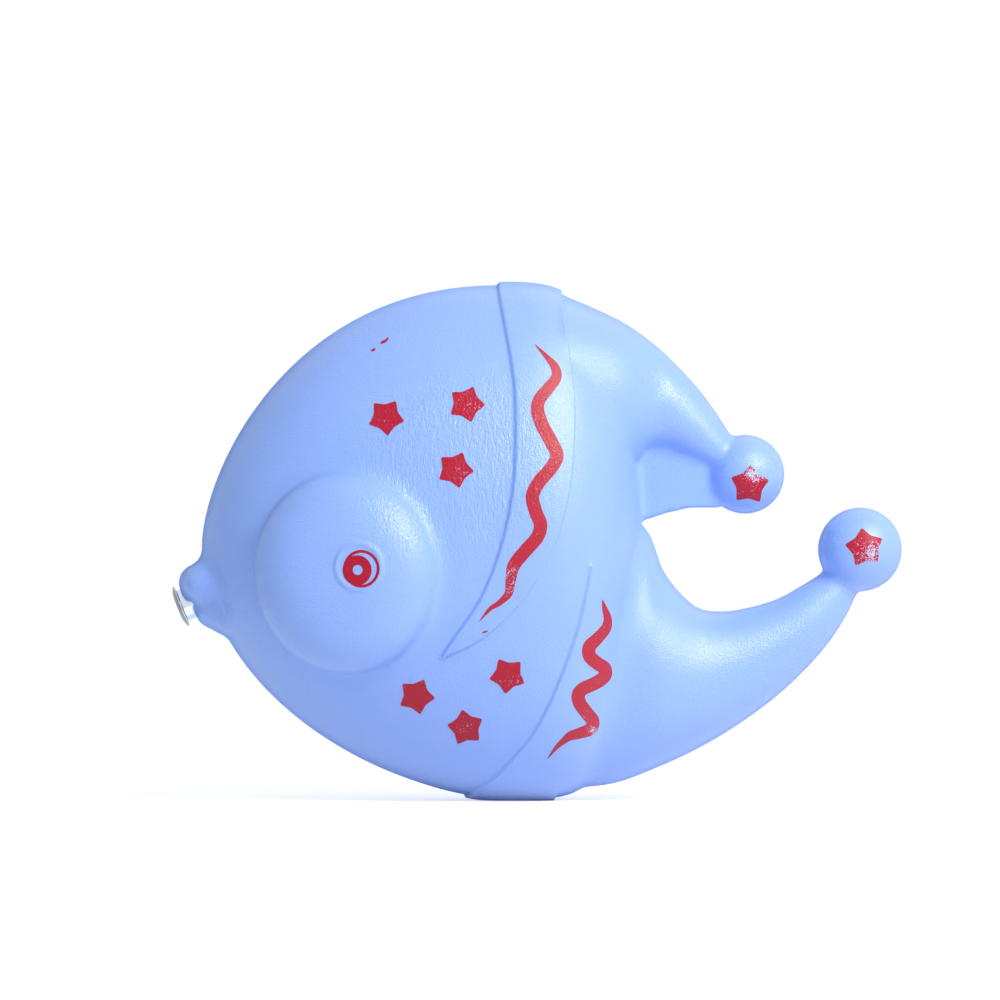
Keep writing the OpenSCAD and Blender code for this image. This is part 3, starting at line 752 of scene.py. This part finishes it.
def discFilm(side, mid, r, holeMid, holeR, lift):  # printed disc with a round hole
    bm = bmesh.new()
    outer = bmesh.ops.create_circle(bm, segments=64, radius=r)["verts"]
    hole = bmesh.ops.create_circle(bm, segments=64, radius=holeR)["verts"]
    squash = math.cos(math.radians(eye["yaw"]))
    for verts, centre in ((outer, mid), (hole, holeMid)):
        for v in verts:
            v.co = (centre[0] + v.co.x * squash, 0, centre[1] + v.co.y)
    bmesh.ops.bridge_loops(bm, edges=bm.edges[:])
    spokes = [e for e in bm.edges if len(e.link_faces) == 2]
    bmesh.ops.subdivide_edges(bm, edges=spokes, cuts=5)
    laidOn(bm, side, lift)
    turnedOut(bm, side)
    bmesh.ops.solidify(bm, geom=bm.faces[:], thickness=film["thick"])
    return bm


def eyeFilms(side):  # thin ring, and over it the spot with its clear dot
    pupil = pupilMiddle(side)
    r = eye["ringR"]
    ring, spot, dot = ((pupil.x + eye[k][0] * r, pupil.z + eye[k][1] * r) for k in ("ring", "spot", "dot"))
    return joined([
        discFilm(side, ring, r, ring, r - eye["ringWidth"], film["lift"]),
        discFilm(side, spot, eye["spotR"], dot, eye["dotR"], film["lift"] + film["over"]),
    ])


starPrints = {}
wavePrints = {}
eyePrints = {}
for side, name in sideNames.items():
    stars = [starFilm(side, *placed(s), star["radius"], s[2]) for s in star["body"]]
    for ball, s in zip(tail["balls"], star["onBalls"]):
        mid, r = onMiddle(ball), ball[2]
        stars.append(starFilm(side, mid.x + s[0] * r, mid.z + s[1] * r, star["ballRadius"], s[2]))
    waves = [waveFilm(side, wave["upper"]), waveFilm(side, wave["lower"])]
    if side < 0:  # stray paint on the left only
        stars += [fleckFilm(side, *placed(s), *s[2:]) for s in star["flecks"]]
        waves += [fleckFilm(side, *placed(s), *s[2:]) for s in wave["flecks"]]
    starPrints[side] = finished(rubbed(joined(stars), star["worn"]), name + "Stars")
    wavePrints[side] = finished(rubbed(joined(waves), wave["worn"]), name + "Waves")
    eyePrints[side] = finished(eyeFilms(side), name + "EyePrint")
print("prints laid on")

for side, name in sideNames.items():
    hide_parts("body_shell", name + "_eye_wall")
    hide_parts("star_prints")
    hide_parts("wave_prints")
    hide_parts(name + "_eye_print")
    for obj in (skinHalves[side], starPrints[side], wavePrints[side], eyePrints[side]):
        followSide(obj)


# squeaker's barrel and its crowned flange, spun in the mouth's frame
whistle = {
    "barrelR": 2.7,
    "wall": 0.25,
    "length": 11.0,
    "flangeR": 3.5,
    "flangeThick": 0.35,
    "crown": 0.5,
    "roll": 0.13,
}


def barrelPiece():
    bm = bmesh.new()
    bore = whistle["barrelR"] - whistle["wall"]
    profile = [
        (bore, -whistle["length"]), (whistle["barrelR"], -whistle["length"]), (whistle["barrelR"], 0),
        (whistle["flangeR"], 0), (whistle["flangeR"], whistle["flangeThick"]),
        (bore, whistle["flangeThick"] + whistle["crown"]),
    ]
    corners = [bm.verts.new((r, 0, z)) for r, z in profile]
    bm.faces.new(corners)
    bmesh.ops.bevel(
        bm, geom=corners[2:], offset=whistle["roll"], segments=4, profile=0.5, affect="VERTICES", material=-1
    )
    bmesh.ops.delete(bm, geom=bm.faces[:], context="FACES_ONLY")
    bmesh.ops.spin(
        bm, geom=bm.verts[:] + bm.edges[:], cent=(0, 0, 0), axis=(0, 0, 1), angle=2 * math.pi, steps=96,
        use_merge=True,
    )
    paintedDarkReflection = bm.verts.layers.float.new("paintedDarkReflection")
    for v in bm.verts:  # the crowned face gets a painted dark reflection, its rim and the barrel stay bright tin
        v[paintedDarkReflection] = float(v.co.z > whistle["flangeThick"] / 2)
    bmesh.ops.transform(bm, matrix=mouthFrame, verts=bm.verts[:])
    bmesh.ops.recalc_face_normals(bm, faces=bm.faces[:])
    for f in bm.faces:
        f.smooth = True
    return finished(bm, "squeakerBarrel")


barrel = barrelPiece()
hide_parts("squeaker_barrel")
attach(barrel, "skin")
print("squeaker spun,", len(barrel.data.polygons), "faces")


def newNode(tree, kind, x, y, **values):
    node = tree.nodes.new(kind)
    node.location = (x, y)
    for key, value in values.items():
        if hasattr(node, key):
            setattr(node, key, value)
        else:
            node.inputs[key].default_value = value
    return node


def rangeNode(tree, x, y, source=(0, 1), target=(0, 1), smooth=False):
    node = newNode(tree, "ShaderNodeMapRange", x, y, interpolation_type="SMOOTHSTEP" if smooth else "LINEAR")
    for k, end in enumerate(("Min", "Max")):
        node.inputs["From " + end].default_value = source[k]
        node.inputs["To " + end].default_value = target[k]
    return node


def tintNode(tree, x, y, first=None, second=None):  # a colour that is left out is linked later
    node = newNode(tree, "ShaderNodeMix", x, y, data_type="RGBA")
    for socket, colour in ((6, first), (7, second)):
        if colour:
            node.inputs[socket].default_value = colour
    return node


# light blue soft vinyl, satin, rougher where it is seen at a glancing angle
vinylLook = {
    "pale": (0.28, 0.463, 0.96, 1),
    "deep": (0.245, 0.418, 0.92, 1),
    "rough": (0.25, 0.34),
    "edgeRough": 0.85,
    "edgeRange": (0.52, 0.95),
    "shine": 0.65,
    "grainDepth": 0.00009,
    "grainScale": 4200.0,
    "wrinkles": 1.9,
    "wrinkleScale": (2200, 2200, 600),
    "wrinkleSpot": (-0.008, 0, 0.054),
    "wrinkleReach": 0.022,
    "wrinkleFull": 0.4,
    "cloudScale": 55.0,
}


def grainGroup():  # fine sandy grain, with soft upright wrinkles on the upper side and the dome
    group = bpy.data.node_groups.new("mouldGrain", "ShaderNodeTree")
    for name, value in (("Grain Scale", vinylLook["grainScale"]), ("Wrinkle Amount", vinylLook["wrinkles"])):
        socket = group.interface.new_socket(name, in_out="INPUT", socket_type="NodeSocketFloat")
        socket.default_value = value
    for name in ("Height", "Grain", "Cloud"):
        group.interface.new_socket(name, in_out="OUTPUT", socket_type="NodeSocketFloat")
    entry = newNode(group, "NodeGroupInput", -900, 0)
    out = newNode(group, "NodeGroupOutput", 700, 0)
    where = newNode(group, "ShaderNodeTexCoord", -900, 300)
    fine = newNode(group, "ShaderNodeTexNoise", -600, 200, Detail=1.0)
    stretch = newNode(group, "ShaderNodeMapping", -750, -150, Scale=vinylLook["wrinkleScale"])
    wrinkle = newNode(group, "ShaderNodeTexNoise", -500, -150, Scale=1.0, Detail=1.0, Distortion=0.6)
    cloud = newNode(group, "ShaderNodeTexNoise", -600, -450, Detail=3.0, Roughness=0.55)
    cloud.inputs["Scale"].default_value = vinylLook["cloudScale"]
    flat = newNode(group, "ShaderNodeVectorMath", -750, -650, operation="MULTIPLY")
    flat.inputs[1].default_value = (1, 0, 1)
    away = newNode(group, "ShaderNodeVectorMath", -550, -650, operation="DISTANCE")
    away.inputs[1].default_value = vinylLook["wrinkleSpot"]
    reach = vinylLook["wrinkleReach"]
    patch = rangeNode(group, -350, -650, source=(reach, reach * vinylLook["wrinkleFull"]), smooth=True)
    amount = newNode(group, "ShaderNodeMath", -150, -300, operation="MULTIPLY")
    ridge = newNode(group, "ShaderNodeMath", 50, -150, operation="MULTIPLY")
    total = newNode(group, "ShaderNodeMath", 300, 0, operation="ADD")
    link = group.links.new
    link(where.outputs["Object"], fine.inputs["Vector"])
    link(entry.outputs["Grain Scale"], fine.inputs["Scale"])
    link(where.outputs["Object"], stretch.inputs["Vector"])
    link(stretch.outputs["Vector"], wrinkle.inputs["Vector"])
    link(where.outputs["Object"], cloud.inputs["Vector"])
    link(where.outputs["Object"], flat.inputs[0])
    link(flat.outputs["Vector"], away.inputs[0])
    link(away.outputs["Value"], patch.inputs["Value"])
    link(patch.outputs["Result"], amount.inputs[0])
    link(entry.outputs["Wrinkle Amount"], amount.inputs[1])
    link(wrinkle.outputs["Fac"], ridge.inputs[0])
    link(amount.outputs["Value"], ridge.inputs[1])
    link(fine.outputs["Fac"], total.inputs[0])
    link(ridge.outputs["Value"], total.inputs[1])
    link(total.outputs["Value"], out.inputs["Height"])
    link(fine.outputs["Fac"], out.inputs["Grain"])
    link(cloud.outputs["Fac"], out.inputs["Cloud"])
    return group


grain = grainGroup()


def newMaterial(name):
    mat = bpy.data.materials.new(name)
    mat.use_nodes = True
    return mat, mat.node_tree, mat.node_tree.nodes["Principled BSDF"]


def vinylMaterial():
    mat, tree, shader = newMaterial("softVinyl")
    pattern = newNode(tree, "ShaderNodeGroup", -700, 0)
    pattern.node_tree = grain
    tint = tintNode(tree, -350, 200, vinylLook["deep"], vinylLook["pale"])
    rough = rangeNode(tree, -350, -50, target=vinylLook["rough"])
    facing = newNode(tree, "ShaderNodeLayerWeight", -700, 500, Blend=0.5)
    edge = rangeNode(tree, -500, 500, source=vinylLook["edgeRange"], smooth=True)
    roughEdge = newNode(tree, "ShaderNodeMix", -150, -50, data_type="FLOAT")
    roughEdge.inputs[3].default_value = vinylLook["edgeRough"]
    bump = newNode(tree, "ShaderNodeBump", -350, -350, Strength=1.0, Distance=vinylLook["grainDepth"])
    link = tree.links.new
    link(facing.outputs["Facing"], edge.inputs["Value"])
    link(pattern.outputs["Cloud"], tint.inputs["Factor"])
    link(tint.outputs[2], shader.inputs["Base Color"])
    link(pattern.outputs["Cloud"], rough.inputs["Value"])
    link(rough.outputs["Result"], roughEdge.inputs[2])
    link(edge.outputs["Result"], roughEdge.inputs["Factor"])
    link(roughEdge.outputs[0], shader.inputs["Roughness"])
    link(pattern.outputs["Height"], bump.inputs["Height"])
    link(bump.outputs["Normal"], shader.inputs["Normal"])
    shader.inputs["Specular IOR Level"].default_value = vinylLook["shine"]
    return mat


# red print, worn through to the vinyl in specks, with each print's wear and shine
printLook = {
    "red": (0.42, 0.006, 0.03, 1),
    "worn": (0.5, 0.62, 0.95, 1),
    "rough": 0.36,
    "grainDepth": 0.00008,
    "patchScale": 520.0,
    "grainShare": 0.65,
    "bareRange": (0.6, 0.72),
    "starPaint": (-0.045, 0.3),
    "wavePaint": (-0.045, 0.45),
    "eyePaint": (-0.07, 0.2),
}


def printMaterial(name):
    mat, tree, shader = newMaterial(name)
    wear, shine = printLook[name]
    pattern = newNode(tree, "ShaderNodeGroup", -1000, 0)
    pattern.node_tree = grain
    where = newNode(tree, "ShaderNodeTexCoord", -1200, -300)
    patch = newNode(tree, "ShaderNodeTexNoise", -1000, -300, Detail=2.0, Roughness=0.6)
    patch.inputs["Scale"].default_value = printLook["patchScale"]
    rubbed = newNode(tree, "ShaderNodeAttribute", -1000, -600, attribute_name="wear")
    mean = newNode(tree, "ShaderNodeMix", -750, -200, data_type="FLOAT", Factor=printLook["grainShare"])
    total = newNode(tree, "ShaderNodeMath", -550, -300, operation="ADD")
    bare = rangeNode(tree, -350, -200, source=[end - wear for end in printLook["bareRange"]])
    tint = tintNode(tree, -150, 150, printLook["red"], printLook["worn"])
    bump = newNode(tree, "ShaderNodeBump", -300, -450, Strength=1.0, Distance=printLook["grainDepth"])
    link = tree.links.new
    link(where.outputs["Object"], patch.inputs["Vector"])
    link(patch.outputs["Fac"], mean.inputs[2])
    link(pattern.outputs["Grain"], mean.inputs[3])
    link(mean.outputs[0], total.inputs[0])
    link(rubbed.outputs["Fac"], total.inputs[1])
    link(total.outputs["Value"], bare.inputs["Value"])
    link(bare.outputs["Result"], tint.inputs["Factor"])
    link(tint.outputs[2], shader.inputs["Base Color"])
    link(pattern.outputs["Height"], bump.inputs["Height"])
    link(bump.outputs["Normal"], shader.inputs["Normal"])
    shader.inputs["Roughness"].default_value = printLook["rough"]
    shader.inputs["Specular IOR Level"].default_value = shine
    return mat


# squeaker's bright tinned sheet with a painted blue reflection of the vinyl round it, brass strip and white
# moulding, with the range of each one's roughness
squeakerLook = {
    # the tin's colour is partly its own pale metal and partly a painted reflection of the blue vinyl round it
    "tinnedSheet": {"colour": (0.68, 0.78, 0.88, 1), "metallic": 1.0, "rough": (0.1, 0.22)},
    "brassStrip": {"colour": (0.72, 0.50, 0.20, 1), "metallic": 1.0, "rough": (0.2, 0.4)},
    "whiteMoulding": {"colour": (0.83, 0.84, 0.84, 1), "metallic": 0.0, "rough": (0.4, 0.55)},
    # dark tone painted on the flange's crowned face: a painted dark reflection
    "darkReflectionTone": (0.25, 0.24, 0.23, 1),
    "scuffed": 0.9,
    "scuffScale": 1400.0,
    "scuffDepth": 0.00003,
}


def squeakerMaterial(name):
    mat, tree, shader = newMaterial(name)
    look = squeakerLook[name]
    worn = tuple(c * squeakerLook["scuffed"] for c in look["colour"][:3]) + (1,)
    where = newNode(tree, "ShaderNodeTexCoord", -900, 0)
    scuff = newNode(tree, "ShaderNodeTexNoise", -700, 0, Detail=4.0, Roughness=0.65)
    scuff.inputs["Scale"].default_value = squeakerLook["scuffScale"]
    rough = rangeNode(tree, -450, 0, target=look["rough"])
    tint = tintNode(tree, -450, 300, look["colour"], worn)
    # painted dark reflection, laid on the flange's crowned face by its point attribute
    darkReflectionShare = newNode(tree, "ShaderNodeAttribute", -450, 550, attribute_name="paintedDarkReflection")
    darkReflectionMix = tintNode(tree, -200, 350, second=squeakerLook["darkReflectionTone"])
    bump = newNode(tree, "ShaderNodeBump", -450, -300, Strength=0.1, Distance=squeakerLook["scuffDepth"])
    link = tree.links.new
    link(where.outputs["Object"], scuff.inputs["Vector"])
    link(scuff.outputs["Fac"], rough.inputs["Value"])
    link(scuff.outputs["Fac"], tint.inputs["Factor"])
    link(rough.outputs["Result"], shader.inputs["Roughness"])
    link(tint.outputs[2], darkReflectionMix.inputs[6])
    link(darkReflectionShare.outputs["Fac"], darkReflectionMix.inputs["Factor"])
    link(darkReflectionMix.outputs[2], shader.inputs["Base Color"])
    link(scuff.outputs["Fac"], bump.inputs["Height"])
    link(bump.outputs["Normal"], shader.inputs["Normal"])
    shader.inputs["Metallic"].default_value = look["metallic"]
    return mat


def dress(obj, mat):
    obj.data.materials.clear()
    obj.data.materials.append(mat)


vinyl = vinylMaterial()
starPaint = printMaterial("starPaint")
wavePaint = printMaterial("wavePaint")
eyePaint = printMaterial("eyePaint")
tin = squeakerMaterial("tinnedSheet")
brass = squeakerMaterial("brassStrip")
whiteMoulding = squeakerMaterial("whiteMoulding")
for side in sideNames:
    dress(skinHalves[side], vinyl)
    dress(starPrints[side], starPaint)
    dress(wavePrints[side], wavePaint)
    dress(eyePrints[side], eyePaint)
dress(barrel, tin)
nodeLooks = {
    "squeaker_front_plate": tin, "squeaker_back_cap": tin,
    "reed_block": whiteMoulding, "reed_wedge": whiteMoulding, "reed_tongue": brass,
}
for name, mat in nodeLooks.items():
    dress(bpy.data.objects[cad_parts[name].name], mat)
print("materials set")

# pale floor that keeps the shadow and goes white away from the fish
stage = {"floorSize": 1.6, "floorTone": 0.86, "glow": 0.62, "clearRange": (0.07, 0.16)}


def pickRays(tree, x, y):  # one for rays that show the background
    rays = newNode(tree, "ShaderNodeLightPath", x, y)
    seen = newNode(tree, "ShaderNodeMath", x + 200, y, operation="MAXIMUM")
    seenAll = newNode(tree, "ShaderNodeMath", x + 400, y, operation="MAXIMUM")
    tree.links.new(rays.outputs["Is Camera Ray"], seen.inputs[0])
    tree.links.new(rays.outputs["Is Glossy Ray"], seen.inputs[1])
    tree.links.new(seen.outputs["Value"], seenAll.inputs[0])
    tree.links.new(rays.outputs["Is Transmission Ray"], seenAll.inputs[1])
    return seenAll


def floorMaterial():
    mat = bpy.data.materials.new("paleFloor")
    mat.use_nodes = True
    tree = mat.node_tree
    tree.nodes.clear()
    out = newNode(tree, "ShaderNodeOutputMaterial", 900, 0)
    matte = newNode(tree, "ShaderNodeBsdfDiffuse", 0, 200, Color=(stage["floorTone"],) * 3 + (1,))
    glow = newNode(tree, "ShaderNodeEmission", 0, 0, Color=(1, 1, 1, 1), Strength=stage["glow"])
    white = newNode(tree, "ShaderNodeEmission", 300, -150, Color=(1, 1, 1, 1), Strength=1.0)
    both = newNode(tree, "ShaderNodeAddShader", 250, 100)
    where = newNode(tree, "ShaderNodeTexCoord", -600, -300)
    reach = newNode(tree, "ShaderNodeVectorMath", -400, -300, operation="LENGTH")
    far = rangeNode(tree, -200, -300, source=stage["clearRange"], smooth=True)
    rays = pickRays(tree, -700, -600)
    farSeen = newNode(tree, "ShaderNodeMath", 100, -400, operation="MULTIPLY")
    nearSeen = newNode(tree, "ShaderNodeMixShader", 450, 150)
    whole = newNode(tree, "ShaderNodeMixShader", 650, 0)
    link = tree.links.new
    link(where.outputs["Object"], reach.inputs[0])
    link(reach.outputs["Value"], far.inputs["Value"])
    link(far.outputs["Result"], farSeen.inputs[0])
    link(rays.outputs["Value"], farSeen.inputs[1])
    link(matte.outputs["BSDF"], both.inputs[0])
    link(glow.outputs["Emission"], both.inputs[1])
    link(rays.outputs["Value"], nearSeen.inputs["Fac"])
    link(matte.outputs["BSDF"], nearSeen.inputs[1])
    link(both.outputs["Shader"], nearSeen.inputs[2])
    link(farSeen.outputs["Value"], whole.inputs["Fac"])
    link(nearSeen.outputs["Shader"], whole.inputs[1])
    link(white.outputs["Emission"], whole.inputs[2])
    link(whole.outputs["Shader"], out.inputs["Surface"])
    return mat


def makeFloor():
    bm = bmesh.new()
    bmesh.ops.create_grid(bm, x_segments=2, y_segments=2, size=stage["floorSize"])
    mesh = bpy.data.meshes.new("floor")
    bm.to_mesh(mesh)
    bm.free()
    floor = bpy.data.objects.new("floor", mesh)
    scene.collection.objects.link(floor)
    dress(floor, floorMaterial())


makeFloor()

# soft studio light, most of it from the upper right
light = {
    "shadeColour": (0.25, 0.35, 0.50, 1),
    "openColour": (0.63, 0.60, 0.60, 1),
    "aim": (0, 0, 0.045),
    "lamps": {
        "keyLamp": {"place": (0.52, -0.57, 0.6), "size": 0.42, "power": 8.6, "colour": (1.0, 0.925, 0.85)},
        "fillLamp": {"place": (-0.6, -0.8, 0.25), "size": 0.6, "power": 0.4, "colour": (0.97, 0.98, 1.0)},
        "backLamp": {"place": (0.2, 0.7, 0.7), "size": 0.5, "power": 0.4, "colour": (1.0, 1.0, 1.0)},
    },
}


def softLamp(name, place, size, power, colour):
    data = bpy.data.lights.new(name, "AREA")
    data.shape = "DISK"
    data.size = size
    data.energy = power
    data.color = colour
    lamp = bpy.data.objects.new(name, data)
    lamp.location = place
    lamp.rotation_euler = (Vector(light["aim"]) - Vector(place)).to_track_quat("-Z", "Y").to_euler()
    scene.collection.objects.link(lamp)


for name, values in light["lamps"].items():
    softLamp(name, **values)


def makeWorld():  # white to the eye, lighter to the right as a lamp
    world = bpy.data.worlds.new("whiteRoom")
    world.use_nodes = True
    tree = world.node_tree
    tree.nodes.clear()
    out = newNode(tree, "ShaderNodeOutputWorld", 700, 0)
    lit = newNode(tree, "ShaderNodeBackground", 200, 150, Strength=1.0)
    where = newNode(tree, "ShaderNodeTexCoord", -500, 300)
    split = newNode(tree, "ShaderNodeSeparateXYZ", -300, 300)
    slope = rangeNode(tree, -150, 300, source=(-1, 1))
    tone = tintNode(tree, 0, 300, light["shadeColour"], light["openColour"])
    tree.links.new(where.outputs["Generated"], split.inputs["Vector"])
    tree.links.new(split.outputs["X"], slope.inputs["Value"])
    tree.links.new(slope.outputs["Result"], tone.inputs["Factor"])
    tree.links.new(tone.outputs[2], lit.inputs["Color"])
    white = newNode(tree, "ShaderNodeBackground", 200, -100, Color=(1, 1, 1, 1), Strength=1.0)
    pick = newNode(tree, "ShaderNodeMixShader", 450, 0)
    rays = pickRays(tree, -500, 0)
    tree.links.new(rays.outputs["Value"], pick.inputs["Fac"])
    tree.links.new(lit.outputs["Background"], pick.inputs[1])
    tree.links.new(white.outputs["Background"], pick.inputs[2])
    tree.links.new(pick.outputs["Shader"], out.inputs["Surface"])
    scene.world = world


makeWorld()

# long lens straight at the fish's left side
view = {"distance": 1.2, "span": 0.165, "x": -0.000825, "z": 0.0495, "sensor": 36}
camData = bpy.data.cameras.new("sideCamera")
camData.sensor_width = view["sensor"]
camData.lens = view["sensor"] * view["distance"] / view["span"]
camera = bpy.data.objects.new("sideCamera", camData)
camera.location = (view["x"], -view["distance"], view["z"])
camera.rotation_euler = (math.pi / 2, 0, 0)
scene.collection.objects.link(camera)
scene.camera = camera
print("lights and camera set")
